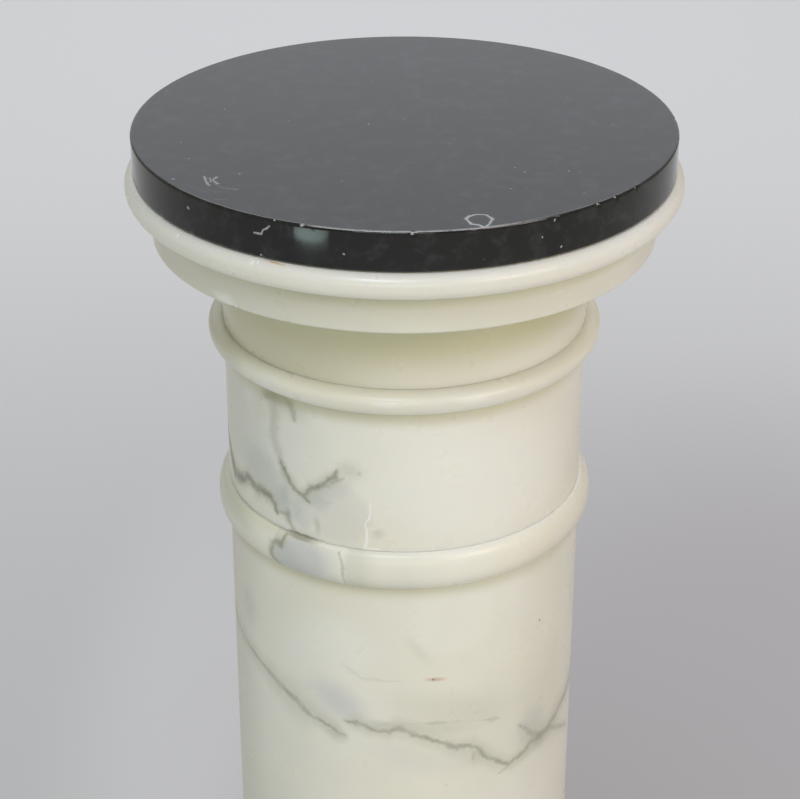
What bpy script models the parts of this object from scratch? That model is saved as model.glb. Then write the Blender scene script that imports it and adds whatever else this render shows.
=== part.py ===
"""Doric pedestal column: turned marble blocks stacked one on another.

Metres, +Z up. The origin is the centre of the plinth slab's underside, on the floor.
Each block is an outline turned about Z. An outline runs from the axis at the block's top,
down the outer side, to the axis at its underside, with heights above that underside.
"""
import math

import bmesh
import bpy

# The whole column
column_height = 1.040
joint_gap = 0.0003
turn_steps = 64

# Arris: the small bevel where a block's bed meets its side
slab_arris = 0.0009
block_arris = 0.0006

# Black slab on top
top_slab_radius = 0.130
top_slab_thickness = 0.0192

# Roll of the capital, under the slab
roll_radius = 0.134
roll_foot_radius = 0.1275
roll_height = 0.0129
roll_crest_drop = 0.0057

# Echinus of the capital, a band that draws in slightly downwards
echinus_head_radius = 0.1235
echinus_rim_radius = 0.1218
echinus_height = 0.0200
echinus_arris = 0.0012

# Neck of the capital, with a cove up to the soffit of the echinus
neck_radius = 0.0898
neck_height = 0.0437
neck_cove = 0.012

# Thin ring below the neck
upper_ring_radius = 0.0970
upper_ring_foot_radius = 0.0903
upper_ring_height = 0.0120
upper_ring_crest_drop = 0.0046

# Drum between the rings
drum_radius = 0.0894
drum_height = 0.0752

# Band ring below the drum, and the lower ring like it at the shaft's foot
band_ring_radius = 0.0950
band_ring_foot_radius = 0.0898
band_ring_height = 0.0197
band_ring_crest_drop = 0.0108

# Shaft
shaft_radius = 0.0895

# Base block: neck, cove, fillet and roll
base_neck_height = 0.030
base_cove_height = 0.022
base_fillet_radius = 0.110
base_fillet_height = 0.007
base_roll_radius = 0.128
base_roll_foot_radius = 0.112
base_roll_height = 0.035

# Black plinth slab on the floor
plinth_radius = 0.145
plinth_thickness = 0.020

# Finishes read from the photo: colour and roughness
white_marble_colour = (0.79, 0.79, 0.70)
white_marble_roughness = 0.28
black_marble_colour = (0.018, 0.019, 0.021)
black_marble_roughness = 0.10

# Edges that turn by more than this stay crisp
crisp_edge_angle = math.radians(32)


def quarter_curve(centre, reach, rise, start, end, parts):
    """Points of an elliptic arc in the outline's plane, from start to end in degrees."""
    points = []
    for step in range(parts + 1):
        angle = math.radians(start + (end - start) * step / parts)
        radius = centre[0] + reach * math.cos(angle)
        height = centre[1] + rise * math.sin(angle)
        points.append((radius, height))
    return points


def roll_outline(outer_radius, foot_radius, top, crest, foot):
    """A convex roll from its top to its foot, widest at the height of its crest."""
    reach = outer_radius - foot_radius
    upper = quarter_curve((foot_radius, crest), reach, top - crest, 90, 0, 3)
    lower = quarter_curve((foot_radius, crest), reach, crest - foot, 0, -90, 4)
    return upper + lower[1:]


def closed_outline(side, height):
    """A side outline with the flat beds above and below it, from axis to axis."""
    return [(0.0, height)] + side + [(0.0, 0.0)]


def slab_outline(radius, thickness):
    """A flat round slab with its two edges eased."""
    side = [
        (radius - slab_arris, thickness),
        (radius, thickness - slab_arris),
        (radius, slab_arris),
        (radius - slab_arris, 0.0),
    ]
    return closed_outline(side, thickness)


def plain_outline(radius, height):
    """A straight length of column with its two arrises taken off."""
    side = [
        (radius - block_arris, height),
        (radius, height - block_arris),
        (radius, block_arris),
        (radius - block_arris, 0.0),
    ]
    return closed_outline(side, height)


def ring_outline(outer_radius, foot_radius, height, crest_drop):
    """A ring that is one convex roll from bed to bed."""
    side = roll_outline(outer_radius, foot_radius, height, height - crest_drop, 0.0)
    return closed_outline(side, height)


def capital_outline():
    """Roll, echinus, soffit, cove and neck, from the top bed down."""
    height = capital_height()
    roll_foot = height - roll_height
    soffit = roll_foot - echinus_height
    rim_inner = echinus_rim_radius - echinus_arris
    cove_radius = neck_radius + neck_cove
    side = roll_outline(roll_radius, roll_foot_radius, height, height - roll_crest_drop, roll_foot)
    side.append((echinus_head_radius, roll_foot))
    side += quarter_curve((rim_inner, soffit + echinus_arris), echinus_arris, echinus_arris, 0, -90, 2)
    side += quarter_curve((cove_radius, soffit - neck_cove), neck_cove, neck_cove, 90, 180, 4)
    side.append((neck_radius, block_arris))
    side.append((neck_radius - block_arris, 0.0))
    return closed_outline(side, height)


def base_outline():
    """Neck, cove, fillet and roll, from the top bed down."""
    height = base_height()
    cove_top = height - base_neck_height
    fillet_top = cove_top - base_cove_height
    cove_reach = base_fillet_radius - shaft_radius
    side = [(shaft_radius - block_arris, height), (shaft_radius, height - block_arris)]
    side += quarter_curve((base_fillet_radius, cove_top), cove_reach, base_cove_height, 180, 270, 5)
    side.append((base_fillet_radius, fillet_top - base_fillet_height))
    side += roll_outline(
        base_roll_radius, base_roll_foot_radius, base_roll_height, base_roll_height / 2, 0.0
    )
    return closed_outline(side, height)


def capital_height():
    """Height of the capital block from its lower bed to its upper one."""
    return roll_height + echinus_height + neck_height


def base_height():
    """Height of the base block from its lower bed to its upper one."""
    return base_neck_height + base_cove_height + base_fillet_height + base_roll_height


def stone(name, colour, roughness):
    """A plain stone finish."""
    material = bpy.data.materials.new(name)
    material.use_nodes = True
    surface = material.node_tree.nodes["Principled BSDF"]
    surface.inputs["Base Color"].default_value = (*colour, 1.0)
    surface.inputs["Roughness"].default_value = roughness
    surface.inputs["Metallic"].default_value = 0.0
    return material


def white_marble(name):
    """The white marble of one block."""
    return stone(name + "_white_marble", white_marble_colour, white_marble_roughness)


def black_marble(name):
    """The black marble of one slab."""
    return stone(name + "_black_marble", black_marble_colour, black_marble_roughness)


def outline_mesh(name, outline):
    """The outline as a chain of edges in the plane of +X and Z."""
    chain = bmesh.new()
    corners = [chain.verts.new((radius, 0.0, height)) for radius, height in outline]
    for upper, lower in zip(corners, corners[1:]):
        chain.edges.new((upper, lower))
    mesh = bpy.data.meshes.new(name)
    chain.to_mesh(mesh)
    chain.free()
    return mesh


def turned_block(collection, name, outline, foot, material):
    """Turn an outline into a solid block whose underside is at the height of foot."""
    block = bpy.data.objects.new(name, outline_mesh(name, outline))
    collection.objects.link(block)
    turning = block.modifiers.new("turning", "SCREW")
    turning.axis = "Z"
    turning.angle = math.tau
    turning.steps = turn_steps
    turning.render_steps = turn_steps
    turning.use_merge_vertices = True
    turning.merge_threshold = 0.00001
    depsgraph = bpy.context.evaluated_depsgraph_get()
    solid = bpy.data.meshes.new_from_object(block.evaluated_get(depsgraph))
    block.modifiers.clear()
    block.data = solid
    solid.name = name
    solid.shade_smooth()
    solid.set_sharp_from_angle(angle=crisp_edge_angle)
    solid.materials.append(material)
    block.location = (0.0, 0.0, foot)
    return block


def build_column():
    """Stack the blocks from the floor up; the shaft takes the height that the others leave."""
    column = bpy.data.collections.new("doric_column")
    bpy.context.scene.collection.children.link(column)

    base_foot = plinth_thickness + joint_gap
    lower_ring_foot = base_foot + base_height() + joint_gap
    shaft_foot = lower_ring_foot + band_ring_height + joint_gap

    top_slab_foot = column_height - top_slab_thickness
    capital_foot = top_slab_foot - joint_gap - capital_height()
    upper_ring_foot = capital_foot - joint_gap - upper_ring_height
    drum_foot = upper_ring_foot - joint_gap - drum_height
    band_ring_foot = drum_foot - joint_gap - band_ring_height
    shaft_height = band_ring_foot - joint_gap - shaft_foot

    band_ring = ring_outline(
        band_ring_radius, band_ring_foot_radius, band_ring_height, band_ring_crest_drop
    )
    upper_ring = ring_outline(
        upper_ring_radius, upper_ring_foot_radius, upper_ring_height, upper_ring_crest_drop
    )
    top_slab = slab_outline(top_slab_radius, top_slab_thickness)
    plinth = slab_outline(plinth_radius, plinth_thickness)
    drum = plain_outline(drum_radius, drum_height)
    shaft = plain_outline(shaft_radius, shaft_height)

    blocks = [
        ("plinth_slab", plinth, 0.0, black_marble),
        ("base_block", base_outline(), base_foot, white_marble),
        ("lower_ring", band_ring, lower_ring_foot, white_marble),
        ("shaft", shaft, shaft_foot, white_marble),
        ("band_ring", band_ring, band_ring_foot, white_marble),
        ("upper_drum", drum, drum_foot, white_marble),
        ("upper_ring", upper_ring, upper_ring_foot, white_marble),
        ("capital", capital_outline(), capital_foot, white_marble),
        ("top_slab", top_slab, top_slab_foot, black_marble),
    ]
    for name, outline, foot, finish in blocks:
        turned_block(column, name, outline, foot, finish(name))


for old_object in list(bpy.data.objects):
    bpy.data.objects.remove(old_object)
build_column()
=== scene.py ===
"""The looks of the pedestal column: fine turned blocks, veined white marble and black marble slabs.

Metres, +Z up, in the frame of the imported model. The photo looks along +Y at the front, -Y.
A place on a block's side is given in millimetres: across from the front along the side,
positive to the right (+X), and up from the block's foot.
"""

import math

import bmesh
import bpy
from mathutils import Matrix, Vector, noise


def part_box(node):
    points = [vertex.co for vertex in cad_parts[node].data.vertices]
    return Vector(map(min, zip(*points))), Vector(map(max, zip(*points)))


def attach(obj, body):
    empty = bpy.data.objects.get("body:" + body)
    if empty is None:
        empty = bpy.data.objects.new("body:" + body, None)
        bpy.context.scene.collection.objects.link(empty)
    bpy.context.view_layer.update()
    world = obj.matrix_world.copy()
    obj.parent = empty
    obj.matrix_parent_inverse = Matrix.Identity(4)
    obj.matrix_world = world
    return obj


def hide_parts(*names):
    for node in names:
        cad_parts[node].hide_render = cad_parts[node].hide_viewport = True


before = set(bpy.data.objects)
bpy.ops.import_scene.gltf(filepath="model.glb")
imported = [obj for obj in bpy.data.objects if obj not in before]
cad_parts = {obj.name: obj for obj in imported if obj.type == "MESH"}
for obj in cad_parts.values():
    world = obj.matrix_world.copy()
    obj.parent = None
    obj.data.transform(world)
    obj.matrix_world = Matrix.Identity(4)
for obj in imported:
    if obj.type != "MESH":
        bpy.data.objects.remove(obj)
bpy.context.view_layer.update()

# One millimetre in metres, and the millimetres in a metre
MM = 0.001
PER_METRE = 1000.0

# Sections of the turned blocks, in millimetres; the rest of their sizes come from the frame
ROLL_FOOT_RADIUS = 127.5
ROLL_HEIGHT = 12.9
ROLL_CREST_DROP = 5.7
ECHINUS_HEAD_RADIUS = 123.5
ECHINUS_RIM_RADIUS = 121.8
ECHINUS_HEIGHT = 20.0
ECHINUS_ARRIS = 1.2
NECK_RADIUS = 89.8
NECK_COVE = 12.0
UPPER_RING_FOOT_RADIUS = 90.3
UPPER_RING_CREST_DROP = 4.6
BAND_RING_FOOT_RADIUS = 89.8
BAND_RING_CREST_DROP = 10.8
BASE_NECK_HEIGHT = 30.0
BASE_COVE_HEIGHT = 22.0
BASE_FILLET_RADIUS = 110.0
BASE_FILLET_HEIGHT = 7.0
BASE_ROLL_FOOT_RADIUS = 112.0
BASE_ROLL_HEIGHT = 35.0
BLOCK_ARRIS = 0.12
SLAB_ARRIS = 1.1

# Distance from a rim of the row that keeps a flat bed's shading flat
FLAT_MARGIN = 0.35

# How far the upper beds reach into the joints, so that the joints show as hairlines
BED_LIFT = 0.2

# Camera solved from the circles of the slab and the rings in the 800 x 799 photo
CAMERA_PLACE = (-0.00215, -0.99497, 1.41334)
CAMERA_PITCH = 27.669
CAMERA_LENS = 99.83
CAMERA_SENSOR = 36.0

# Turning: the steps round each kind of block, and the edge angle that stays crisp
FINE_STEPS = 960
BLOCK_STEPS = 720
SHAFT_STEPS = 540
CRISP_ANGLE = math.radians(40)

# Points closer than this are joined where the turned parts meet, in metres
SAME_POINT = 0.000002

# Points nearer the axis than this keep their place, in metres
UNWORN_MIDDLE = 0.02

# Roughness of the white and the black marble where the polish is finest, and their refraction
MARBLE_ROUGHNESS = 0.27
BLACK_ROUGHNESS = 0.05
MARBLE_IOR = 1.5

# Length over which the veins of the back fade in, in millimetres
BACK_FADE = 30.0

# Half the floor's width, and the point that the panels are turned to
FLOOR_REACH = 9.0
LIT_POINT = Vector((0.0, 0.0, 0.9))

# Stone colours; some are also laid on as painted light and shade
CREAM = (0.815, 0.810, 0.725)
PALE = (0.850, 0.852, 0.800)
WARM = (0.815, 0.770, 0.665)
# Olive of the painted shade in creases and under overhangs
OLIVE_SHADE = (0.520, 0.510, 0.300)
COOL_GREY = (0.560, 0.595, 0.575)
LILAC_GREY = (0.655, 0.655, 0.640)
BLUE_GREY = (0.590, 0.605, 0.610)
HAZE = (0.500, 0.510, 0.430)
VEIN = (0.300, 0.305, 0.245)
DARK_VEIN = (0.190, 0.200, 0.150)
DIRT = (0.170, 0.160, 0.080)
# White of chipped stone, also laid on as painted highlights
CHIPPED_AND_HIGHLIGHT = (0.930, 0.930, 0.900)
RUST = (0.560, 0.250, 0.120)
OCHRE = (0.580, 0.370, 0.090)
BLACK = (0.0025, 0.0032, 0.0033)
SMOKE = (0.026, 0.029, 0.031)
# Pale grey of scuffs and specks, also laid on as the painted highlight on the slab's arris
SCUFF_AND_HIGHLIGHT = (0.420, 0.430, 0.450)
# Floor colours: painted shade near the column, the pale floor far off, and a painted shadow
FLOOR_NEAR = (0.618, 0.635, 0.673)
FLOOR_FAR = (0.832, 0.846, 0.898)
FLOOR_PAINTED_SHADOW = (0.360, 0.312, 0.370)


def node_size(node):
    """Outer radius, foot and top of a CAD block, in millimetres."""
    low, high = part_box(node)
    return high[0] / MM, low[2] / MM, high[2] / MM


# Outlines: (radius, height) in millimetres, from the axis at the top to the axis below

def arc_points(centre, reach, rise, start, end, parts):
    """An elliptic arc from start to end, in degrees."""
    points = []
    for step in range(parts + 1):
        angle = math.radians(start + (end - start) * step / parts)
        points.append((centre[0] + reach * math.cos(angle), centre[1] + rise * math.sin(angle)))
    return points


def between(start, end, spacing):
    """Points between start and end, both left out, about spacing apart."""
    parts = max(1, round(math.dist(start, end) / spacing))
    points = []
    for step in range(1, parts):
        share = step / parts
        points.append((start[0] + (end[0] - start[0]) * share, start[1] + (end[1] - start[1]) * share))
    return points


def roll_points(outer, foot_radius, top, crest, foot):
    """A convex roll, widest at its crest."""
    reach = outer - foot_radius
    upper = arc_points((foot_radius, crest), reach, top - crest, 90, 0, 12)
    lower = arc_points((foot_radius, crest), reach, crest - foot, 0, -90, 14)
    return upper + lower[1:]


def closed(side, top, foot):
    """The side with its two flat beds, closed on the axis."""
    upper, lower = side[0][0], side[-1][0]
    upper_bed = [(0.0, top), (upper * 0.5, top), (upper - FLAT_MARGIN, top)]
    lower_bed = [(lower - FLAT_MARGIN, foot), (lower * 0.5, foot), (0.0, foot)]
    return upper_bed + side + lower_bed


def plain_outline(node, arris, spacing):
    """A straight length of column or a flat slab, between two eased arrises."""
    outer, foot, top = node_size(node)
    top += BED_LIFT if node == "shaft" or node == "upper_drum" else 0.0
    upper = arc_points((outer - arris, top - arris), arris, arris, 90, 0, 4)
    lower = arc_points((outer - arris, foot + arris), arris, arris, 0, -90, 4)
    straight = [(outer, upper[-1][1] - FLAT_MARGIN), (outer, lower[0][1] + FLAT_MARGIN)]
    straight[1:1] = between(straight[0], straight[1], spacing)
    return closed(upper + straight + lower, top, foot)


def ring_outline(node, foot_radius, crest_drop):
    """A ring that is one roll from bed to bed."""
    outer, foot, top = node_size(node)
    crest = top - crest_drop
    return closed(roll_points(outer, foot_radius, top + BED_LIFT, crest, foot), top + BED_LIFT, foot)


def capital_outline():
    """Roll, echinus, soffit, cove and neck."""
    outer, foot, top = node_size("capital")
    roll_foot = top - ROLL_HEIGHT
    soffit = roll_foot - ECHINUS_HEIGHT
    rim_centre = (ECHINUS_RIM_RADIUS - ECHINUS_ARRIS, soffit + ECHINUS_ARRIS)
    rim = arc_points(rim_centre, ECHINUS_ARRIS, ECHINUS_ARRIS, 0, -90, 5)
    cove = arc_points((NECK_RADIUS + NECK_COVE, soffit - NECK_COVE), NECK_COVE, NECK_COVE, 90, 180, 9)
    neck_foot_centre = (NECK_RADIUS - BLOCK_ARRIS, foot + BLOCK_ARRIS)
    neck_foot = arc_points(neck_foot_centre, BLOCK_ARRIS, BLOCK_ARRIS, 0, -90, 4)
    side = roll_points(outer, ROLL_FOOT_RADIUS, top, top - ROLL_CREST_DROP, roll_foot)
    crease = (ECHINUS_HEAD_RADIUS, roll_foot)
    side += [crease] + between(crease, rim[0], 1.6) + rim
    side += between(rim[-1], cove[0], 5.0) + cove
    side += between(cove[-1], neck_foot[0], 2.5) + neck_foot
    return closed(side, top, foot)


def base_outline():
    """Neck, cove, fillet and roll."""
    outer, foot, top = node_size("base_block")
    neck_radius = node_size("shaft")[0]
    cove_top = top - BASE_NECK_HEIGHT
    fillet_top = cove_top - BASE_COVE_HEIGHT
    cove_reach = BASE_FILLET_RADIUS - neck_radius
    side = arc_points((neck_radius - BLOCK_ARRIS, top - BLOCK_ARRIS), BLOCK_ARRIS, BLOCK_ARRIS, 90, 0, 4)
    cove = arc_points((BASE_FILLET_RADIUS, cove_top), cove_reach, BASE_COVE_HEIGHT, 180, 270, 14)
    side += between(side[-1], cove[0], 4.0) + cove
    side.append((BASE_FILLET_RADIUS, fillet_top - BASE_FILLET_HEIGHT))
    crest = foot + BASE_ROLL_HEIGHT / 2
    side += roll_points(outer, BASE_ROLL_FOOT_RADIUS, foot + BASE_ROLL_HEIGHT, crest, foot)
    return closed(side, top, foot)


# Wear and hand work on the turned surfaces

def side_point(node, radius, across, height):
    """The point at a place on a block's side, in metres."""
    foot = node_size(node)[1]
    angle = across / radius
    return Vector((radius * math.sin(angle) * MM, -radius * math.cos(angle) * MM, (foot + height) * MM))


def wear(shape, chips, waviness, arrises, nibble, drift):
    """Moves a turned block's points inwards: slow waves, nibbled arrises and chips.

    chips are (point, width, depth) and arrises heights, all in metres.
    """
    offset = Vector((drift * 3.1, drift * 1.7, drift * 2.3))
    for vertex in shape.verts:
        point = vertex.co.copy()
        away = math.hypot(point.x, point.y)
        if away < UNWORN_MIDDLE:
            continue
        depth = waviness * (0.5 + 0.5 * noise.noise(point * 22.0 + offset))
        for height in arrises:
            near = 1.0 - abs(point.z - height) / (1.5 * MM)
            if near > 0.0:
                bite = noise.noise(point * 330.0 + offset) + 0.6 * noise.noise(point * 90.0 - offset)
                depth += nibble * near * max(0.0, bite - 0.25)
        for centre, width, deep in chips:
            reach = (point - centre).length / width
            if reach < 1.0:
                ragged = 0.75 + 0.5 * noise.noise(point * 700.0 + offset)
                depth += deep * (1.0 - reach ** 2) * ragged
        vertex.co = Vector((point.x * (1 - depth / away), point.y * (1 - depth / away), point.z))


def turned(
    name, node, outline, steps, material, chips=(), waviness=0.00008, arrises=(), nibble=0.0, drift=1,
):
    """Spins an eighth of a block, copies it round, wears it and stands it for its CAD node."""
    shape = bmesh.new()
    corners = [shape.verts.new((radius * MM, 0.0, height * MM)) for radius, height in outline]
    for upper, lower in zip(corners, corners[1:]):
        shape.edges.new((upper, lower))
    bmesh.ops.spin(
        shape, geom=shape.verts[:] + shape.edges[:], cent=(0, 0, 0), axis=(0, 0, 1), dvec=(0, 0, 0),
        angle=math.tau / 8, steps=steps // 8, use_merge=False, use_normal_flip=False, use_duplicate=False,
    )
    for doubling in range(3):
        copied = bmesh.ops.duplicate(shape, geom=shape.verts[:] + shape.edges[:] + shape.faces[:])
        moved = [part for part in copied["geom"] if isinstance(part, bmesh.types.BMVert)]
        turn = Matrix.Rotation(math.tau / 8 * 2 ** doubling, 3, "Z")
        bmesh.ops.rotate(shape, verts=moved, cent=(0, 0, 0), matrix=turn)
    bmesh.ops.remove_doubles(shape, verts=shape.verts[:], dist=SAME_POINT)
    bmesh.ops.recalc_face_normals(shape, faces=shape.faces[:])
    wear(shape, chips, waviness, arrises, nibble, drift)
    mesh = bpy.data.meshes.new(name)
    shape.to_mesh(mesh)
    shape.free()
    mesh.shade_smooth()
    mesh.set_sharp_from_angle(angle=CRISP_ANGLE)
    mesh.materials.append(material)
    piece = bpy.data.objects.new(name, mesh)
    bpy.context.scene.collection.objects.link(piece)
    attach(piece, "root")
    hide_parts(node)
    return piece


# Shader sums

class Wire:
    """A socket in a material's nodes that can be used in sums."""

    def __init__(self, tree, socket=None):
        self.tree = tree
        self.socket = socket

    def add(self, kind, inputs=None, output=0, settings=None, stops=None):
        """Adds a node: its settings and stops first, then the values or wires of its inputs."""
        made = self.tree.nodes.new(kind)
        for name, value in (settings or {}).items():
            setattr(made, name, value)
        if stops:
            elements = made.color_ramp.elements
            while len(elements) < len(stops):
                elements.new(0.5)
            for element, (place, shade) in zip(elements, stops):
                element.position = place
                element.color = (shade, shade, shade, 1.0)
        for key, value in (inputs or {}).items():
            if isinstance(value, Wire):
                self.tree.links.new(value.socket, made.inputs[key])
            else:
                made.inputs[key].default_value = value
        return Wire(self.tree, made.outputs[output])

    def other(self, output):
        """Another output of the same node."""
        return Wire(self.tree, self.socket.node.outputs[output])

    def sum(self, operation, first, second=0.0, clamp=False):
        settings = {"operation": operation, "use_clamp": clamp}
        return self.add("ShaderNodeMath", {0: first, 1: second}, 0, settings)

    def __add__(self, other):
        return self.sum("ADD", self, other)

    __radd__ = __add__

    def __sub__(self, other):
        return self.sum("SUBTRACT", self, other)

    def __rsub__(self, other):
        return self.sum("SUBTRACT", other, self)

    def __mul__(self, other):
        return self.sum("MULTIPLY", self, other)

    __rmul__ = __mul__

    def __truediv__(self, other):
        return self.sum("DIVIDE", self, other)

    def __rtruediv__(self, other):
        return self.sum("DIVIDE", other, self)

    def __abs__(self):
        return self.sum("ABSOLUTE", self)

    def least(self, other):
        return self.sum("MINIMUM", self, other)

    def most(self, other):
        return self.sum("MAXIMUM", self, other)

    def held(self):
        """Kept between 0 and 1."""
        return self.sum("ADD", self, 0.0, clamp=True)

    def rise(self, low, high):
        """0 at low and below, 1 at high and above, eased at both ends."""
        return self.eased(low, high, 0.0, 1.0)

    def fall(self, low, high):
        """1 at low and below, 0 at high and above, eased at both ends."""
        return self.eased(low, high, 1.0, 0.0)

    def eased(self, low, high, before, after):
        """One level at low and below, another at high and above, eased between them."""
        inputs = {"Value": self, "From Min": low, "From Max": high, "To Min": before, "To Max": after}
        return self.add("ShaderNodeMapRange", inputs, 0, {"interpolation_type": "SMOOTHSTEP"})

    def vector(self, operation, second=(0.0, 0.0, 0.0), output=0):
        """A sum on this vector."""
        return self.add("ShaderNodeVectorMath", {0: self, 1: second}, output, {"operation": operation})

    def scaled(self, size):
        return self.add("ShaderNodeVectorMath", {0: self, "Scale": size}, 0, {"operation": "SCALE"})

    def tinted(self, colour, share):
        """This colour with another laid over it by a share."""
        inputs = {0: share, 6: self, 7: (*colour, 1.0)}
        return self.add("ShaderNodeMix", inputs, 2, {"data_type": "RGBA"})

    def noise(self, scale, detail=2.0, roughness=0.5, distortion=0.0):
        """Noise over this vector; its colour is the output named Color."""
        inputs = {
            "Vector": self, "Scale": scale, "Detail": detail, "Roughness": roughness,
            "Distortion": distortion,
        }
        return self.add("ShaderNodeTexNoise", inputs)


def colour(ink, shade):
    """A plain colour as a wire."""
    made = ink.add("ShaderNodeRGB")
    made.socket.default_value = (*shade, 1.0)
    return made


def stretch(place, start, end):
    """Distance from a straight stretch of vein, over its half width.

    start and end are (across, height, half width).
    """
    run = Vector((end[0] - start[0], end[1] - start[1], 0.0))
    from_start = place.vector("SUBTRACT", (start[0], start[1], 0.0))
    share = from_start.vector("DOT_PRODUCT", tuple(run / run.length_squared), "Value").held()
    foot = share.add("ShaderNodeVectorMath", {0: tuple(run), "Scale": share}, 0, {"operation": "SCALE"})
    gap = from_start.vector("DISTANCE", foot, "Value")
    if start[2] == end[2]:
        return gap / start[2]
    return gap / (share * (end[2] - start[2]) + start[2])


def vein(place, points):
    """Distance from a vein through the points, over its half width."""
    nearest = None
    for start, end in zip(points, points[1:]):
        gap = stretch(place, start, end)
        nearest = gap if nearest is None else nearest.least(gap)
    return nearest


def cloud(place, across, height, reach, tall, turn=0.0):
    """Distance from the middle of an oval patch, 1 at its edge."""
    inputs = {
        "Vector": place, "Location": (across, height, 0.0), "Rotation": (0.0, 0.0, math.radians(turn)),
        "Scale": (reach, tall, 1.0),
    }
    fitted = place.add("ShaderNodeMapping", inputs, 0, {"vector_type": "TEXTURE"})
    return fitted.vector("LENGTH", output="Value")


def spots(place, marks):
    """Distance from the nearest round spot, over its radius; marks are (across, height, radius)."""
    nearest = None
    for across, height, radius in marks:
        gap = place.vector("DISTANCE", (across, height, 0.0), "Value") / radius
        nearest = gap if nearest is None else nearest.least(gap)
    return nearest


class At:
    """Where a point of a block is.

    spot is its place in metres. In millimetres, flat is its place seen from above, side is
    (across, height), loose the same shifted by noise, profile (radius, height), plan
    (across, radius) and right the distance to the right of the axis, which has no seam at
    the back. stone is what noise reads, moved on for each block so that each is cut from
    another part of the quarry. patchy and ragged are noise for the wear of veins and dirt.
    """

    def __init__(self, ink, node, radius, drift):
        foot = node_size(node)[1]
        self.spot = ink.add("ShaderNodeTexCoord", output="Object")
        parts = ink.add("ShaderNodeSeparateXYZ", {0: self.spot})
        turn = parts.sum("ARCTAN2", parts, parts.other(1) * -1.0)
        self.across = turn * radius
        self.right = parts * PER_METRE
        self.height = parts.other(2) * PER_METRE - foot
        self.side = parts.add("ShaderNodeCombineXYZ", {0: self.across, 1: self.height})
        self.flat = self.spot.vector("MULTIPLY", (PER_METRE, PER_METRE, 0.0))
        self.away = self.flat.vector("LENGTH", output="Value")
        self.profile = parts.add("ShaderNodeCombineXYZ", {0: self.away, 1: self.height})
        self.plan = parts.add("ShaderNodeCombineXYZ", {0: self.across, 1: self.away})
        self.stone = self.spot.vector("ADD", (drift * 0.37, drift * 0.19, drift * 0.53))
        slow = self.shake(170.0, 0.6).scaled(3.2)
        quick = self.shake(600.0, 0.6).scaled(1.4)
        self.loose = self.side.vector("ADD", slow).vector("ADD", quick).vector("MULTIPLY", (1.0, 1.0, 0.0))
        self.patchy = self.stone.noise(130.0, 2.0).rise(0.30, 0.66)
        self.ragged = self.stone.noise(420.0, 3.0, 0.65) - 0.5

    def shake(self, scale, roughness=0.5):
        """A noisy offset about zero."""
        return self.stone.noise(scale, 2.0, roughness).other("Color").vector("SUBTRACT", (0.5, 0.5, 0.5))

    def behind(self, reach):
        """1 on the side and back of the block, beyond a reach from the front."""
        return abs(self.across).rise(reach, reach + BACK_FADE)


def clear_stone(at):
    """Cream stone with soft paler, warmer and cloudier patches."""
    broad = at.stone.noise(11.0, 2.0, 0.5, 0.3)
    fine = at.stone.noise(40.0, 3.0, 0.5)
    tone = colour(at.stone, CREAM).tinted(PALE, broad.rise(0.42, 0.72) * 0.8)
    warmer = broad.add("ShaderNodeSeparateColor", {0: broad.other("Color")}, 2).rise(0.45, 0.75)
    tone = tone.tinted(WARM, warmer * 0.45)
    return tone.tinted(LILAC_GREY, fine.rise(0.35, 0.85) * 0.16)


def wandering_veins(tone, at, here):
    """Faint grey veins with haze on one side, for where the photo shows nothing."""
    bent = at.stone.vector("ADD", at.stone.noise(9.0, 3.0).other("Color").scaled(0.10))
    field = bent.noise(5.5, 3.0, 0.45)
    breaks = at.stone.noise(7.0, 1.0).rise(0.42, 0.60)
    line = abs(field - 0.5).fall(0.0, 0.012)
    haze = (field - 0.5).rise(0.0, 0.006) * (field - 0.5).fall(0.0, 0.09)
    tone = tone.tinted(COOL_GREY, haze * breaks * here * 0.45)
    return tone.tinted(VEIN, line * breaks * here * 0.60)


def clouded(tone, place, rows):
    """Lays soft oval patches over the stone, one after another.

    A row is the shade, its share, the oval (across, height, reach, tall, turn) and the
    distances from its middle between which it fades, 1 being its edge.
    """
    for shade, share, oval, fading in rows:
        tone = tone.tinted(shade, cloud(place, *oval).fall(*fading) * share)
    return tone


def veined(tone, at, gap, haze, dark):
    """Lays a vein over the stone: a dim halo, then a darker ragged core that comes and goes."""
    rough = gap + at.ragged * 1.6
    tone = tone.tinted(HAZE, rough.fall(0.3, haze) * dark * 0.60)
    return tone.tinted(VEIN, rough.fall(0.0, 1.8) * (at.patchy * 0.45 + 0.55) * dark)


def joint_dirt(tone, at, radius, height, depth, strength):
    """Dark olive dirt in the joint at a radius and height."""
    near = at.profile.vector("DISTANCE", (radius, height, 0.0), "Value").fall(0.0, depth)
    return tone.tinted(DIRT, near * (at.patchy * 0.7 + 0.3) * strength)


def crease_shade(tone, at, radius, height, depth, strength):
    """Painted yellow-olive shade, as shadow and deep stone give, that fades away from a crease."""
    near = at.profile.vector("DISTANCE", (radius, height, 0.0), "Value").fall(0.0, depth)
    return tone.tinted(OLIVE_SHADE, near * strength)


def finish_marble(material, ink, tone, at):
    """Joins the colour, polish and slight unevenness of white marble to its shader."""
    surface = material.node_tree.nodes["Principled BSDF"]
    links = material.node_tree.links
    polish = at.stone.noise(60.0, 3.0).rise(0.3, 0.8) * 0.10 + MARBLE_ROUGHNESS
    swell = at.stone.noise(34.0, 2.0, 0.4)
    bump = ink.add("ShaderNodeBump", {"Strength": 0.25, "Distance": 0.0006, "Height": swell})
    links.new(tone.socket, surface.inputs["Base Color"])
    links.new(polish.socket, surface.inputs["Roughness"])
    links.new(bump.socket, surface.inputs["Normal"])
    surface.inputs["IOR"].default_value = MARBLE_IOR
    surface.inputs["Subsurface Weight"].default_value = 0.30
    surface.inputs["Subsurface Radius"].default_value = (1.0, 0.9, 0.55)
    surface.inputs["Subsurface Scale"].default_value = 0.006


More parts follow.
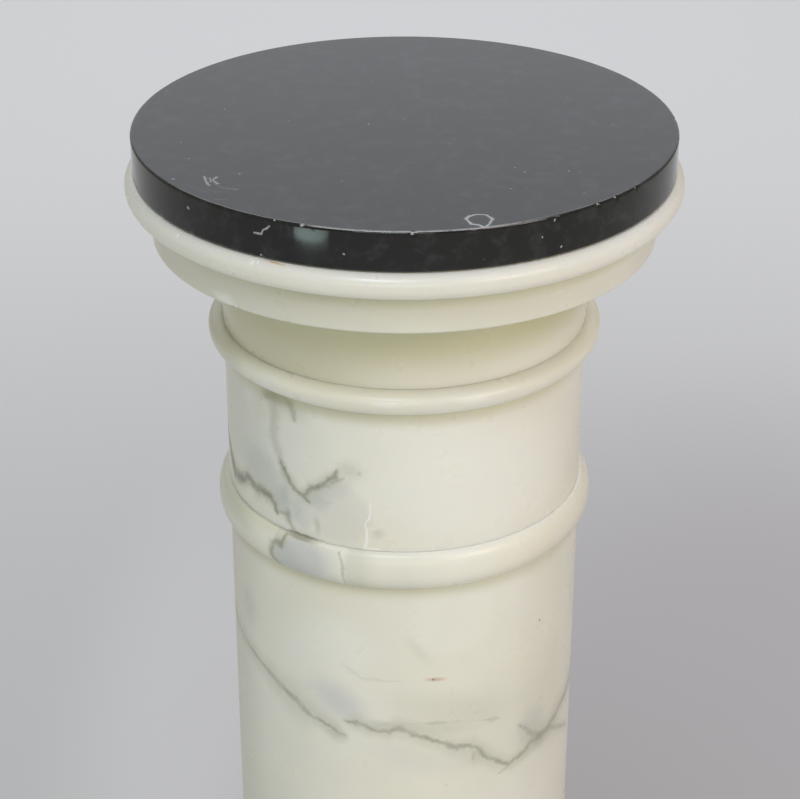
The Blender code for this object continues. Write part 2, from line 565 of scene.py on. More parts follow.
def marble(name, node, radius, marks, drift):
    """White marble for one block, with that block's own marks."""
    material = bpy.data.materials.new(name)
    material.use_nodes = True
    ink = Wire(material.node_tree)
    at = At(ink, node, radius, drift)
    tone = marks(clear_stone(at), at)
    finish_marble(material, ink, tone, at)
    return material


# The marks of each white block: tone is its colour so far

def drum_marks(tone, at):
    """Grey cloud with dark veins at the left, pale blobs and filled cracks."""
    loose = at.loose
    border = vein(loose, [(-70, 73, 4.5), (-68.3, 65, 3.4), (-68.7, 56.1, 2.6), (-69.6, 49.1, 2.4),
                          (-66.3, 42.5, 2.2), (-64.5, 36.5, 1.8), (-61.3, 29.6, 1.5)])
    main = vein(loose, [(-65.0, 38.5, 0.5), (-61.6, 31.0, 1.2), (-56.8, 25.3, 1.4), (-51.6, 22.8, 1.3),
                        (-48.0, 20.4, 0.8)])
    left = vein(loose, [(-160, 44, 1.2), (-127, 25, 2.0), (-117, 16, 2.8), (-110.7, 10.2, 3.4),
                        (-102.0, 11.6, 2.8), (-97.0, 13.6, 2.2), (-91.8, 17.0, 2.2), (-88.5, 15.6, 2.2),
                        (-84.0, 14.0, 2.6), (-78.6, 15.0, 2.3), (-73.1, 14.2, 2.2), (-70.1, 11.2, 1.6),
                        (-68.5, 7.2, 0.8)])
    branch = vein(loose, [(-50.8, 23.6, 0.8), (-45.5, 28.6, 1.4), (-40.8, 31.6, 1.3), (-37.8, 34.6, 1.4),
                          (-34.1, 37.3, 1.4), (-32.7, 41.1, 0.7)])
    loops = vein(loose, [(-39.5, 32.6, 0.4), (-37.0, 31.6, 0.6), (-35.2, 33.9, 0.6), (-29.5, 38.0, 0.4)])
    rim = vein(loose, [(-69.0, 8.2, 0.8), (-65.0, 9.0, 0.8), (-61.2, 9.6, 1.2), (-60.0, 5.5, 1.3),
                       (-57.8, 1.1, 1.2)])
    spur = vein(loose, [(-74, 70.5, 2.2), (-63, 73.0, 2.6), (-57.5, 71, 1.9), (-56.0, 67.0, 1.1),
                        (-55.7, 62.8, 0.7)])
    dot = spots(loose, [(-21.4, 41.5, 0.8)])
    tone = clouded(tone, loose, (
        (BLUE_GREY, 0.14, (-55, 50, 21, 28), (0.4, 1.2)),
        (COOL_GREY, 0.38, (-98, 42, 34, 31, -14), (0.45, 1.10)),
        (COOL_GREY, 0.62, (-78, 26, 24, 15, -18), (0.30, 1.10)),
        (COOL_GREY, 0.50, (-60, 13, 11, 10), (0.40, 1.10)),
        (COOL_GREY, 0.65, (-66, 17, 8, 10), (0.2, 1.1)),
        (HAZE, 0.26, (-79, 64, 9, 13), (0.2, 1.1)),
        (HAZE, 0.32, (-58, 67, 14, 7, -8), (0.1, 1.1)),
        (COOL_GREY, 0.60, (-63, 20, 3.6, 9), (0.2, 1.1)),
        (CREAM, 0.45, (-92, 6, 22, 8.5, -16), (0.5, 1.05)),
        (PALE, 0.30, (-50, 42, 12, 13, 30), (0.3, 1.05)),
        (LILAC_GREY, 0.42, (-31, 17, 17, 18, -12), (0.70, 1.04)),
        (COOL_GREY, 0.80, (-44, 23, 10, 9), (0.0, 1.1)),
        (BLUE_GREY, 0.42, (-52, 12.5, 7.2, 10.5, 8), (0.55, 1.08)),
        (HAZE, 0.45, (-26, 42.5, 9, 7.5), (0.0, 1.15)),
        (LILAC_GREY, 0.70, (-33, 31, 13, 7, 28), (0.2, 1.1)),
        # Dark patch at the top left just under the ring: painted shade, with some dirt
        (VEIN, 0.34, (-69, 71, 11, 4.5, -4), (0.0, 1.15)),
        (PALE, 0.95, (40, 34, 72, 40), (0.4, 1.1)),
        (VEIN, 0.50, (-61.2, 9.0, 2.4, 4.6), (0.0, 1.2)),
        (HAZE, 0.60, (-43.8, 8.0, 2.6, 7.0, 10), (0.0, 1.2)),
    ))
    for line, haze, dark in (
        (border, 2.6, 0.34), (main, 5.0, 0.84), (left, 3.4, 1.0), (branch, 4.5, 0.88), (loops, 3.5, 0.30),
        (spur, 2.8, 0.56), (dot, 3.0, 0.35), (rim, 3.6, 0.42),
    ):
        tone = veined(tone, at, line, haze, dark)
    dark_end = (left + at.ragged * 1.4).fall(0.0, 1.7) * at.across.fall(-99.0, -92.0)
    tone = tone.tinted(DARK_VEIN, dark_end * 0.34)
    cracks = vein(at.side, [(-16.3, 26.8, 0.3), (-16.4, 20.5, 0.45), (-17, 17.5, 0.5), (-19, 14.3, 0.4),
                            (-18.1, 11.5, 0.6), (-18.1, 5.5, 0.7), (-18.8, 1.3, 0.8)])
    dashes = vein(at.side, [(-19.5, 0.8, 0.7), (-12.3, 1.0, 0.6)])
    faint = vein(loose, [(-10.9, 21.8, 0.5), (-4.5, 22.8, 0.4)])
    faint = faint.least(vein(loose, [(-16.4, 12.4, 0.6), (-12.9, 12.4, 0.5), (-11.2, 14.7, 0.3)]))
    tone = tone.tinted(CHIPPED_AND_HIGHLIGHT, (cracks + at.ragged).fall(0.3, 1.6) * (at.patchy * 0.4 + 0.6))
    tone = tone.tinted(CHIPPED_AND_HIGHLIGHT, dashes.fall(0.5, 1.4))
    tone = tone.tinted(PALE, faint.fall(0.2, 1.7) * 0.8)
    tone = tone.tinted(HAZE, cloud(loose, -12.5, 9.5, 5, 4, 40).fall(0.0, 1.1) * 0.40)
    tone = wandering_veins(tone, at, at.behind(130.0))
    # Painted shade at the top, under the ring
    tone = crease_shade(tone, at, 89.4, 75.2, 10.0, 0.50)
    # Painted light along the foot joint, right of the front, that thins its dark line
    tone = tone.tinted(PALE, at.height.fall(0.0, 1.4) * at.right.rise(-25.0, 5.0) * 0.55)
    thick = cloud(at.side, -52, -0.2, 12.5, 2.0).fall(0.2, 1.0)
    return tone.tinted(DIRT, thick * 0.58)


def band_marks(tone, at):
    """One grey patch with a dark ragged left edge and a pale patch beside it, with painted light and shade.
    """
    loose = at.loose
    patch = at.across.rise(-70.0, -68.5) * at.across.fall(-38.0, -27.0)
    body = cloud(loose, -54, 10, 18, 13, 8).fall(0.55, 1.10)
    edge = vein(loose, [(-63.0, 19.0, 0.8), (-64.2, 14.2, 1.5), (-68.2, 14.6, 1.3), (-70.1, 13.0, 1.3),
                        (-70.3, 8.4, 1.4), (-69.5, 4.2, 1.4), (-65.5, 1.5, 1.0)])
    thin = vein(loose, [(-32.1, 18.0, 0.5), (-30.1, 13.4, 0.6), (-29.5, 8.2, 0.5), (-28.9, 2.0, 0.4)])
    tone = tone.tinted(BLUE_GREY, (patch * 0.45 + body * 0.55) * 0.90)
    tone = tone.tinted(COOL_GREY, cloud(loose, -60, 9, 10, 9).fall(0.2, 1.1) * 0.66)
    tone = tone.tinted(HAZE, at.across.rise(-31.0, -27.0) * at.across.fall(-22.0, -12.0) * 0.36)
    tone = tone.tinted(HAZE, at.across.rise(-20.0, -14.0) * at.across.fall(0.0, 12.0) * 0.14)
    clear_edge = (at.away - at.across * 0.07 + at.ragged).fall(94.3, 95.1) * at.height.rise(12.0, 13.0)
    clear_edge = clear_edge * at.across.rise(-62.0, -57.0) * at.across.fall(-32.0, -25.0)
    tone = tone.tinted(CREAM, clear_edge * 0.75)
    tone = veined(tone, at, edge, 3.2, 0.90)
    tone = veined(tone, at, thin, 3.2, 0.42)
    tone = wandering_veins(tone, at, at.behind(130.0))
    # Painted shade on the upper left, just under the drum
    shaded_upper_left = at.right.fall(-66.5, -38.4) * at.away.fall(92.0, 94.5) * at.height.rise(9.0, 14.0)
    tone = tone.tinted(OLIVE_SHADE, shaded_upper_left * 0.32)
    # Painted warm light on the right side
    tone = tone.tinted(WARM, at.right.rise(29.7, 71.0) * 0.35)
    # Painted shade dimming the far left, most near the top, and the right limb
    tone = tone.tinted(HAZE, at.right.fall(-84.0, -70.0) * (at.height.rise(9.0, 15.0) * 0.34 + 0.18))
    tone = tone.tinted(HAZE, at.right.rise(52.0, 74.0) * 0.13)
    # Painted light along the top joint, right of the front, that thins its dark line
    joint = at.profile.vector("DISTANCE", (89.8, 19.7, 0.0), "Value").fall(0.0, 1.7)
    tone = tone.tinted(PALE, joint * at.right.rise(-25.0, 5.0) * 0.60)
    tone = tone.tinted(DIRT, cloud(at.side, -54.5, 19.8, 13, 1.3).fall(0.2, 1.0) * 0.56)
    tone = joint_dirt(tone, at, 89.8, 19.7, 1.2, at.right.fall(-61.3, -28.4) * 0.30)
    return joint_dirt(tone, at, 89.8, 0.0, 1.4, 0.20)


def shaft_marks(tone, at):
    """Two long veins that cross the front and die out at the back, a stain and small dots."""
    loose = at.loose
    first = vein(loose, [(-212, 661, 0.2), (-191, 650, 0.8), (-170, 652, 1.1), (-135, 644, 1.2),
                         (-112.8, 638.2, 1.0), (-91.2, 634.0, 1.1), (-76.1, 629.7, 1.4), (-68.6, 626.1, 1.7),
                         (-59.4, 622.9, 2.2), (-54.5, 619.5, 2.0), (-50.0, 617.0, 1.0), (-37.7, 613.3, 0.8),
                         (-30.5, 609.5, 0.3)])
    second = vein(loose, [(-30.5, 619.6, 0.4), (-23.5, 619.4, 1.4), (-14.4, 616.8, 1.3), (-7.8, 616.0, 1.2),
                          (-2.3, 618.6, 1.5), (6.6, 614.0, 1.2), (18.9, 608.0, 1.3), (27.0, 603.6, 1.6),
                          (34.1, 603.3, 1.4), (38.6, 600.0, 1.2), (42.5, 594.5, 1.3), (48.4, 589.7, 1.2),
                          (57.6, 583.0, 1.2), (67.6, 585.9, 1.3), (73.4, 589.1, 1.6), (88.4, 589.4, 1.8),
                          (101.1, 594.9, 2.0), (124.2, 599.0, 2.2), (158, 617, 1.5), (186, 628, 0.9),
                          (203, 641, 0.2)])
    wedge = vein(loose, [(64.5, 604.5, 0.5), (70.5, 597.6, 1.5), (80.0, 590.0, 2.0), (90.7, 588.1, 1.6),
                         (118.0, 572.6, 0.8)])
    spurs = vein(loose, [(36.1, 598.0, 0.4), (36.3, 594.0, 0.9)])
    spurs = spurs.least(vein(loose, [(57.6, 583.0, 0.9), (51.5, 579.0, 0.4)]))
    faint = vein(loose, [(-31.5, 653.5, 0.4), (-25.4, 649.6, 0.8), (-20.5, 647.0, 0.8), (-1.5, 647.2, 0.4)])
    ticks = vein(loose, [(11.0, 621.3, 0.3), (14.0, 621.0, 1.0), (20.5, 620.3, 0.5)])
    ticks = ticks.least(vein(loose, [(43.0, 616.4, 0.4), (47.0, 615.4, 1.1), (50.5, 614.2, 0.4)]))
    trace = vein(loose, [(-1.2, 621.2, 0.5), (25.6, 619.6, 0.6), (45.2, 616.2, 0.5)])
    tone = clouded(tone, loose, (
        (BLUE_GREY, 0.60, (-34, 630, 24, 13, -32), (0.1, 1.15)),
        (BLUE_GREY, 0.22, (5, 600, 40, 12, -20), (0.1, 1.15)),
        (LILAC_GREY, 0.75, (74, 601, 15, 15, 24), (0.2, 1.1)),
        (PALE, 0.42, (24, 682, 26, 25), (0.70, 1.0)),
        (HAZE, 0.20, (6, 665, 4, 14, 38), (0.0, 1.1)),
        (HAZE, 0.48, (-35, 610, 8, 7, -30), (0.0, 1.1)),
        (HAZE, 0.45, (-10, 620, 12, 3.4), (0.0, 1.1)),
        (HAZE, 0.32, (37, 595, 12, 8), (0.0, 1.1)),
        (COOL_GREY, 0.40, (-97, 661, 11, 15), (0.1, 1.1)),
        (VEIN, 0.48, (79, 588, 8, 5, -35), (0.1, 1.1)),
        (HAZE, 0.60, (-2.3, 617.6, 4.0, 3.2), (0.0, 1.1)),
        (HAZE, 0.20, (70, 606, 58, 50), (0.2, 1.1)),
        (HAZE, 0.30, (-42, 617, 18, 8, -28), (0.1, 1.1)),
        (HAZE, 0.34, (16, 617, 26, 6, -10), (0.1, 1.1)),
        (HAZE, 0.36, (78, 586, 26, 6, 12), (0.1, 1.1)),
        (HAZE, 0.25, (22, 627, 42, 15, -12), (0.2, 1.1)),
        (PALE, 0.80, (-38, 664, 30, 22), (0.3, 1.1)),
    ))
    for line, haze, dark in (
        (first, 9.0, 0.60), (second, 6.5, 0.68), (wedge, 6.5, 0.50), (spurs, 3.5, 0.32), (faint, 3.0, 0.13),
        (ticks, 3.2, 0.28), (trace, 3.0, 0.07),
    ):
        tone = veined(tone, at, line, haze, dark)
    stain = cloud(at.side, 15.5, 647.0, 7.0, 1.6, -4).fall(0.0, 1.15)
    tone = tone.tinted(RUST, stain * 0.55)
    dark_dots = spots(at.side, [(14.3, 647.1, 0.7), (77.3, 662.4, 0.8)])
    pale_dots = spots(at.side, [(-21.5, 648.4, 0.7), (73.1, 664.6, 0.9)])
    tone = tone.tinted(DARK_VEIN, dark_dots.fall(0.3, 1.4) * 0.80)
    tone = tone.tinted(CHIPPED_AND_HIGHLIGHT, pale_dots.fall(0.2, 1.4) * 0.60)
    tone = wandering_veins(tone, at, at.behind(130.0).most(at.height.fall(535.0, 565.0)))
    # Painted shade at the top, under the ring
    tone = crease_shade(tone, at, 89.5, 701.2, 10.0, 0.36)
    # Painted shade dimming the far left and the right limb
    tone = tone.tinted(HAZE, at.right.fall(-86.0, -69.0) * 0.25)
    tone = tone.tinted(HAZE, at.right.rise(52.0, 66.0) * at.right.fall(76.0, 84.0) * 0.13)
    return joint_dirt(tone, at, 89.5, 701.2, 1.0, 0.15)


def capital_marks(tone, at):
    """Painted shade in the creases and down the neck, painted sheen on the roll, and white nicks along it.
    """
    roll = at.away.rise(124.5, 127.5)
    # The roll is painted greyer above its crest and whiter below it, for its bluish sheen and soft highlight
    tone = tone.tinted(LILAC_GREY, roll * at.height.rise(67.0, 73.0) * 0.36)
    tone = tone.tinted(CHIPPED_AND_HIGHLIGHT, roll * at.height.fall(65.5, 72.5) * 0.50)
    # Painted shade on the echinus just under the roll
    shade_below_roll = at.height.rise(54.0, 60.5) * at.height.fall(63.5, 63.9) * at.away.rise(108.0, 112.0)
    tone = tone.tinted(OLIVE_SHADE, shade_below_roll * (at.right.rise(-80.8, -36.6) * 0.24 + 0.30))
    # Painted shade dimming the whole echinus, most at the left
    echinus = at.away.rise(108.0, 112.0) * at.away.fall(124.5, 127.5)
    tone = tone.tinted(HAZE, echinus * (at.right.fall(-53.6, 18.4) * 0.12 + 0.15))
    # Painted shadow of the echinus down the neck: deepest high up and to the right, reaching lower at the
    # left
    deepening = at.right.rise(-45.0, 0.0) * 0.36 + at.right.rise(30.0, 75.0) * 0.14 + 0.34
    under = at.height.rise(3.0, 24.0) * deepening + at.right.fall(-45.0, 0.0) * 0.30
    tone = tone.tinted(OLIVE_SHADE, under * at.away.fall(104.0, 110.0))
    nicks = spots(at.loose, [
        (-173.4, 71.7, 1.2), (-158.5, 71.0, 0.9), (-151.3, 68.9, 1.1), (-144.8, 69.5, 1.0),
        (-91.7, 45.2, 1.7), (-89.0, 44.6, 1.4),
    ]).least(spots(at.plan, [(-115.7, 132.1, 1.0), (-69.6, 132.0, 1.0), (-67.1, 131.5, 0.8)]))
    tone = tone.tinted(CHIPPED_AND_HIGHLIGHT, nicks.fall(0.4, 1.2) * 0.9)
    tone = tone.tinted(CHIPPED_AND_HIGHLIGHT, cloud(at.loose, -97, 47, 10, 4).fall(0.1, 1.1) * 0.65)
    rust = cloud(at.plan, -59.0, 130.2, 7.0, 0.75, 3.0) + at.ragged * 0.8
    tone = tone.tinted(OCHRE, rust.fall(0.1, 1.1) * at.height.rise(68.0, 70.0) * 0.75)
    tone = tone.tinted(DARK_VEIN, spots(at.loose, [(-79.3, 68.0, 0.5)]).fall(0.2, 1.4) * 0.6)
    tone = wandering_veins(tone, at, at.behind(190.0))
    # Painted light along the neck's foot that thins the dark line of the joint
    return tone.tinted(PALE, at.height.fall(0.0, 1.4) * at.away.fall(92.0, 94.0) * 0.60)


def upper_ring_marks(tone, at):
    """Clean stone, a pale foot, dirt in both joints, painted shade at the joints and far left, painted
    highlights.
    """
    tone = wandering_veins(tone, at, at.behind(140.0))
    # Painted shade at the top joint and along the foot
    tone = crease_shade(tone, at, 90.3, 12.0, 4.0, 0.10)
    tone = crease_shade(tone, at, 90.3, 0.0, 4.0, 0.45)
    # Painted shade dimming the far left
    tone = tone.tinted(HAZE, at.right.fall(-86.0, -72.0) * 0.34)
    dirty_left = at.right.fall(-67.3, -14.2) * 0.34
    tone = joint_dirt(tone, at, 90.3, 12.0, 1.1, dirty_left)
    tone = tone.tinted(CHIPPED_AND_HIGHLIGHT, at.height.fall(3.5, 7.0) * at.away.rise(91.0, 94.0) * 0.30)
    # Painted highlights: two bright spots on the crest, and a lilac-grey sheen along it
    painted_highlights = cloud(at.side, -8.5, 7.6, 9.0, 1.7).least(cloud(at.side, 33.0, 7.6, 9.0, 1.7))
    tone = tone.tinted(CHIPPED_AND_HIGHLIGHT, painted_highlights.fall(0.3, 1.2) * 0.55)
    tone = tone.tinted(LILAC_GREY, cloud(at.side, 10.0, 7.0, 60.0, 3.5).fall(0.3, 1.1) * 0.20)
    return joint_dirt(tone, at, 90.3, 0.0, 1.4, 0.25)


def unseen_marks(tone, at):
    """A block that the photo doesn't show: wandering veins all over."""
    return wandering_veins(tone, at, at.height.rise(-400.0, -300.0))


def black_marble(name, node, top_marks, side_marks, drift):
    """Polished black marble with faint smoke, pale specks and the given scuffs, which on the top slab's side
    include a painted highlight.
    """
    material = bpy.data.materials.new(name)
    material.use_nodes = True
    ink = Wire(material.node_tree)
    at = At(ink, node, node_size(node)[0], drift)
    smoke = at.stone.noise(120.0, 4.0, 0.62, 0.4)
    tone = colour(ink, BLACK).tinted(SMOKE, smoke.rise(0.46, 0.74) * 0.75)
    specks = at.stone.add("ShaderNodeTexVoronoi", {"Vector": at.stone, "Scale": 130.0}).fall(0.02, 0.07)
    tone = tone.tinted(SCUFF_AND_HIGHLIGHT, specks * at.stone.noise(24.0, 1.0).rise(0.60, 0.75) * 0.35)
    polish = at.stone.noise(50.0, 3.0).rise(0.3, 0.8) * 0.03 + BLACK_ROUGHNESS
    for mark in (top_marks, side_marks):
        if mark:
            scuffs = mark(at)
            tone = tone.tinted(SCUFF_AND_HIGHLIGHT, scuffs)
            polish = polish + scuffs * 0.3
    surface = material.node_tree.nodes["Principled BSDF"]
    material.node_tree.links.new(tone.socket, surface.inputs["Base Color"])
    material.node_tree.links.new(polish.socket, surface.inputs["Roughness"])
    swell = at.stone.noise(30.0, 2.0)
    bump = ink.add("ShaderNodeBump", {"Strength": 0.10, "Distance": 0.0004, "Height": swell})
    material.node_tree.links.new(bump.socket, surface.inputs["Normal"])
    surface.inputs["IOR"].default_value = MARBLE_IOR
    return material


def top_scuffs(at):
    """Scratches, spots and an oval mark on the top slab's face, in millimetres from the axis."""
    shaky = at.flat.vector("ADD", at.shake(500.0))
    small = spots(shaky, [
        (-103.6, -70.5, 0.9), (-74.3, -64.2, 0.6), (-98.6, -46.0, 0.5), (-28.0, -73.0, 0.5), (-17, -1, 0.7),
        (-55, 3, 0.5), (-16, 59, 0.5), (-87, 19, 0.5), (-104, -25, 0.5), (0, 6, 0.5), (50, -57, 0.5),
        (54, -62, 0.6), (74, -61, 0.6), (79, -62.5, 0.4), (47, -82, 0.5), (54, -80, 0.4), (79, -87, 0.5),
        (99, -1, 0.4), (80, 36, 0.4), (23, -21, 0.4), (15, 7, 0.4),
    ]).fall(0.3, 1.3)
    crossed = vein(shaky, [(-89.9, -67.7, 0.6), (-87.9, -76.1, 0.7), (-86.6, -78.4, 0.5)])
    crossed = crossed.least(vein(shaky, [(-87.2, -69.5, 0.5), (-86.6, -74.5, 0.4)]))
    crossed = crossed.least(vein(shaky, [(-84.3, -68.4, 0.8), (-86.0, -72.0, 0.5), (-83.3, -76.1, 0.7)]))
    thin = vein(shaky, [(-85.0, -76.0, 0.4), (-81.8, -80.5, 0.3), (-73.8, -83.2, 0.7)])
    thin = thin.least(vein(shaky, [(-84.1, -85.8, 0.5), (-81.0, -85.8, 0.3)]))
    thin = thin.least(vein(shaky, [(-82.8, -94.6, 0.5), (-78.0, -94.4, 0.3)]))
    oval = vein(shaky, [(26.2, -115.6, 0.8), (27.8, -112.8, 0.6), (31.1, -111.0, 0.45), (35.2, -111.8, 0.45),
                        (37.6, -116.0, 0.7), (35.9, -121.9, 0.4), (34.1, -125.6, 0.9), (31.2, -122.5, 0.6),
                        (28.3, -121.8, 0.7), (26.6, -117.3, 0.45), (26.2, -115.6, 0.8)])
    marks = small.most((crossed + at.ragged * 1.2).fall(0.2, 1.4))
    marks = marks.most((thin + at.ragged).fall(0.1, 1.4) * 0.35) * 0.55
    marks = marks.most((oval + at.ragged * 1.2).fall(0.3, 1.7) * 0.80)
    return marks * at.height.rise(18.9, 19.1)


def top_slab_side_scuffs_and_highlight(at):
    """Spots and a bent mark on the top slab's side, pale nicks along its upper arris and a painted highlight
    on it.
    """
    dots = spots(at.loose, [(-107.3, 12.7, 1.0), (-26.2, 7.9, 0.6), (61.4, 10.8, 0.5), (71.5, 3.7, 0.6),
                            (-65.0, 1.2, 0.7)])
    bent = vein(at.side, [(-68.2, 11.2, 0.5), (-64.6, 11.4, 0.5), (-63.6, 13.6, 0.4), (-62.0, 14.4, 0.5),
                          (-60.5, 15.9, 0.4)])
    nicks = spots(at.loose, [(-45.2, 18.9, 1.1), (3.0, 18.4, 0.9), (91.3, 18.8, 0.8), (103.1, 18.9, 0.9),
                             (68.1, 17.2, 0.7), (-58.0, 19.0, 0.6), (118.0, 18.6, 0.7)])
    marks = dots.least(nicks).fall(0.3, 1.2)
    marks = marks.most((bent + at.ragged * 1.2).fall(0.2, 1.5))
    # Painted highlight: a broken pale line along the upper arris at the front
    arris = at.profile.vector("DISTANCE", (129.45, 19.0, 0.0), "Value").fall(0.18, 0.50)
    painted_arris_highlight = arris * at.across.rise(-46.0, -38.0) * at.across.fall(34.0, 80.0)
    marks = marks.most(painted_arris_highlight * (at.ragged + 0.5).rise(0.05, 0.55))
    return marks * at.away.rise(128.8, 129.2) * 0.85


# The blocks, from the top down

def make_column():
    """Every block, finer than its CAD node and in the same place."""
    foot = {node: node_size(node)[1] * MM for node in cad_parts}
    top = {node: node_size(node)[2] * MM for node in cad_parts}
    roll_chips = [
        (side_point("capital", radius, across, height), width, deep)
        for radius, across, height, width, deep in (
            (133.0, -173.4, 71.7, 0.0018, 0.0005), (133.6, -151.3, 68.9, 0.0018, 0.0005),
            (133.6, -144.8, 69.5, 0.0015, 0.0005), (132.0, -115.7, 74.8, 0.0016, 0.0005),
            (132.0, -69.6, 75.0, 0.0015, 0.0005), (131.5, -67.1, 75.6, 0.0012, 0.0004),
            (132.6, 165.0, 73.0, 0.0020, 0.0006), (132.6, 290.0, 73.0, 0.0022, 0.0008),
            (121.6, -84.4, 44.2, 0.0025, 0.0010), (121.6, -80.5, 44.0, 0.0018, 0.0006),
            (121.6, -54.0, 44.0, 0.0018, 0.0005), (121.6, -97.0, 44.4, 0.0030, 0.0006),
        )
    ]
    slab_chips = [
        (side_point("top_slab", 129.5, across, height), width, deep)
        for across, height, width, deep in (
            (-45.2, 19.0, 0.0010, 0.0002), (3.0, 18.6, 0.0014, 0.0006), (91.3, 19.0, 0.0016, 0.0007),
            (103.1, 19.0, 0.0018, 0.0007), (68.1, 18.0, 0.0014, 0.0005), (-65.0, 0.4, 0.0018, 0.0006),
            (-106.0, 0.3, 0.0016, 0.0006), (-87.4, 0.3, 0.0013, 0.0005), (-131.0, 0.3, 0.0017, 0.0006),
            (118.0, 18.8, 0.0015, 0.0006), (210.0, 18.9, 0.0020, 0.0008), (-230.0, 0.4, 0.0020, 0.0006),
        )
    ]
    turned(
        "black_top", "top_slab", plain_outline("top_slab", SLAB_ARRIS, 1.5), FINE_STEPS,
        black_marble("black_top_marble", "top_slab", top_scuffs, top_slab_side_scuffs_and_highlight, 1), chips=slab_chips,
        waviness=0.00003, arrises=(top["top_slab"], foot["top_slab"]), nibble=0.0004, drift=1,
    )
    turned(
        "capital_block", "capital", capital_outline(), FINE_STEPS,
        marble("capital_marble", "capital", 132.5, capital_marks, 2), chips=roll_chips, drift=2,
    )
    turned(
        "upper_ring_block", "upper_ring",
        ring_outline("upper_ring", UPPER_RING_FOOT_RADIUS, UPPER_RING_CREST_DROP), BLOCK_STEPS,
        marble("upper_ring_marble", "upper_ring", 96.0, upper_ring_marks, 3), drift=3,
    )
    drum_chips = [
        (side_point("upper_drum", 89.4, across, 0.0), width, 0.0009)
        for across, width in (
            (-60.0, 0.0022), (-56.0, 0.0030), (-51.0, 0.0032), (-46.0, 0.0028), (-41.5, 0.0020),
        )
    ]
    turned(
        "drum_block", "upper_drum",
        plain_outline("upper_drum", BLOCK_ARRIS, 3.0), BLOCK_STEPS,
        marble("drum_marble", "upper_drum", 89.4, drum_marks, 4), chips=drum_chips,
        arrises=(foot["upper_drum"], top["upper_drum"]), nibble=0.0002, drift=4,
    )
    turned(
        "band_ring_block", "band_ring",
        ring_outline("band_ring", BAND_RING_FOOT_RADIUS, BAND_RING_CREST_DROP), BLOCK_STEPS,
        marble("band_ring_marble", "band_ring", 93.5, band_marks, 5), drift=5,
    )
    turned(
        "shaft_block", "shaft", plain_outline("shaft", BLOCK_ARRIS, 6.0), SHAFT_STEPS,
        marble("shaft_marble", "shaft", 89.5, shaft_marks, 6),
        arrises=(foot["shaft"], top["shaft"]), nibble=0.0004, drift=6,
    )
    turned(
        "lower_ring_block", "lower_ring",
        ring_outline("lower_ring", BAND_RING_FOOT_RADIUS, BAND_RING_CREST_DROP), BLOCK_STEPS,
        marble("lower_ring_marble", "lower_ring", 93.5, unseen_marks, 7), drift=7,
    )
    turned(
        "base_block_fine", "base_block", base_outline(), BLOCK_STEPS,
        marble("base_marble", "base_block", 110.0, unseen_marks, 8), drift=8,
    )
    turned(
        "black_plinth", "plinth_slab",
        plain_outline("plinth_slab", SLAB_ARRIS, 2.0), BLOCK_STEPS,
        black_marble("black_plinth_marble", "plinth_slab", None, None, 9),
        waviness=0.00003, arrises=(top["plinth_slab"],), nibble=0.0004, drift=9,
    )


# The studio

def make_floor():
    """A wide pale floor with painted shade near the column, a painted shadow and a painted pool of light."""
    shape = bmesh.new()
    bmesh.ops.create_grid(shape, x_segments=8, y_segments=8, size=FLOOR_REACH)
    mesh = bpy.data.meshes.new("studio_floor")
    shape.to_mesh(mesh)
    shape.free()
    floor = bpy.data.objects.new("studio_floor", mesh)
    bpy.context.scene.collection.objects.link(floor)
    material = bpy.data.materials.new("studio_floor_paint")
    material.use_nodes = True
    ink = Wire(material.node_tree)
    place = ink.add("ShaderNodeTexCoord", output="Object")
    distance = place.vector("LENGTH", output="Value")
    # Painted shade: darker near the column, paler far off
    tone = colour(ink, FLOOR_NEAR).tinted(FLOOR_FAR, distance.rise(0.85, 2.7))
    # A painted shadow behind the column to the right
    tone = tone.tinted(FLOOR_PAINTED_SHADOW, cloud(place, 0.45, 0.6, 0.75, 1.35).fall(0.45, 1.0) * 0.36)
    # A painted pool of light behind the column to the left
    tone = tone.tinted(FLOOR_FAR, cloud(place, -0.23, 1.02, 0.18, 0.62).fall(0.2, 1.0) * 0.34)
    surface = material.node_tree.nodes["Principled BSDF"]
    material.node_tree.links.new(tone.socket, surface.inputs["Base Color"])
    surface.inputs["Roughness"].default_value = 0.8
    mesh.materials.append(material)


def soft_light(name, azimuth, elevation, distance, width, height, power, shade):
    """A soft panel turned to the column's head; azimuth from the front, positive to the right."""
    light = bpy.data.lights.new(name, "AREA")
    light.shape = "RECTANGLE"
    light.size = width
    light.size_y = height
    light.energy = power
    light.color = shade
    panel = bpy.data.objects.new(name, light)
    turn, tilt = math.radians(azimuth), math.radians(elevation)
    away = Vector((math.sin(turn) * math.cos(tilt), -math.cos(turn) * math.cos(tilt), math.sin(tilt)))
    panel.location = LIT_POINT + away * distance
    panel.rotation_euler = (-away).to_track_quat("-Z", "Y").to_euler()
    panel.visible_camera = False
    bpy.context.scene.collection.objects.link(panel)
    return panel


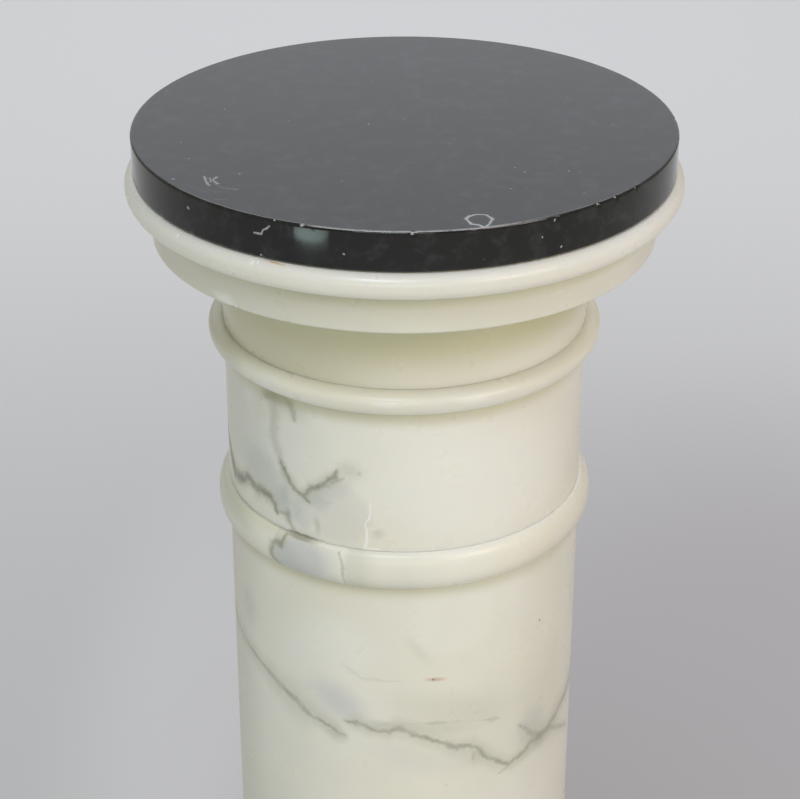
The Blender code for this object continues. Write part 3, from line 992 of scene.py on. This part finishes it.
LIGHTS = (
    ("low_front_panel", -4, 14, 2.6, 1.4, 0.7, 8.9, (0.870, 1.0, 0.850)),
    ("left_window", -13, 56, 2.4, 0.6, 0.6, 15.2, (0.700, 0.830, 1.0)),
    ("right_window", 40, 54, 2.4, 0.6, 0.6, 4.8, (0.510, 0.530, 1.0)),
    ("right_panel", 44, 26, 2.6, 1.2, 0.8, 18.2, (1.0, 0.785, 0.610)),
    ("back_panel", 180, 27, 4.2, 5.0, 3.2, 28.8, (0.725, 0.812, 1.0)),
)


# A small card low at the left front, and the spot on the slab's side where it is mirrored
LOW_CARD_PLACE = Vector((-0.7252, -0.9859, 0.5586))
LOW_CARD_FACES = Vector((-0.0401, -0.1236, 1.0358))


def make_studio():
    """Floor, pale surroundings, soft panels and the photo's camera."""
    scene = bpy.context.scene
    scene.view_settings.view_transform = "Standard"
    world = bpy.data.worlds.new("pale_room")
    world.use_nodes = True
    world.node_tree.nodes["Background"].inputs["Color"].default_value = (0.440, 0.417, 0.354, 1.0)
    world.node_tree.nodes["Background"].inputs["Strength"].default_value = 1.0
    scene.world = world
    make_floor()
    for row in LIGHTS:
        soft_light(*row)
    far_panel = soft_light("far_floor_panel", 180, 20, 1.0, 3.0, 2.0, 39.0, (0.92, 0.95, 1.0))
    far_panel.location = (0.0, 4.5, 4.2)
    far_panel.rotation_euler = (0.0, 0.0, 0.0)
    card = soft_light("low_card", 0, 0, 1.0, 0.31, 0.020, 0.07, (0.75, 1.0, 0.95))
    card.data.shape = "ELLIPSE"
    card.location = LOW_CARD_PLACE
    card.rotation_euler = (LOW_CARD_FACES - LOW_CARD_PLACE).to_track_quat("-Z", "Y").to_euler()
    camera = bpy.data.cameras.new("photo_camera")
    camera.lens = CAMERA_LENS
    camera.sensor_width = CAMERA_SENSOR
    camera.sensor_fit = "HORIZONTAL"
    holder = bpy.data.objects.new("photo_camera", camera)
    holder.location = CAMERA_PLACE
    holder.rotation_euler = (math.radians(90.0 - CAMERA_PITCH), 0.0, 0.0)
    scene.collection.objects.link(holder)
    scene.camera = holder


make_studio()
make_column()
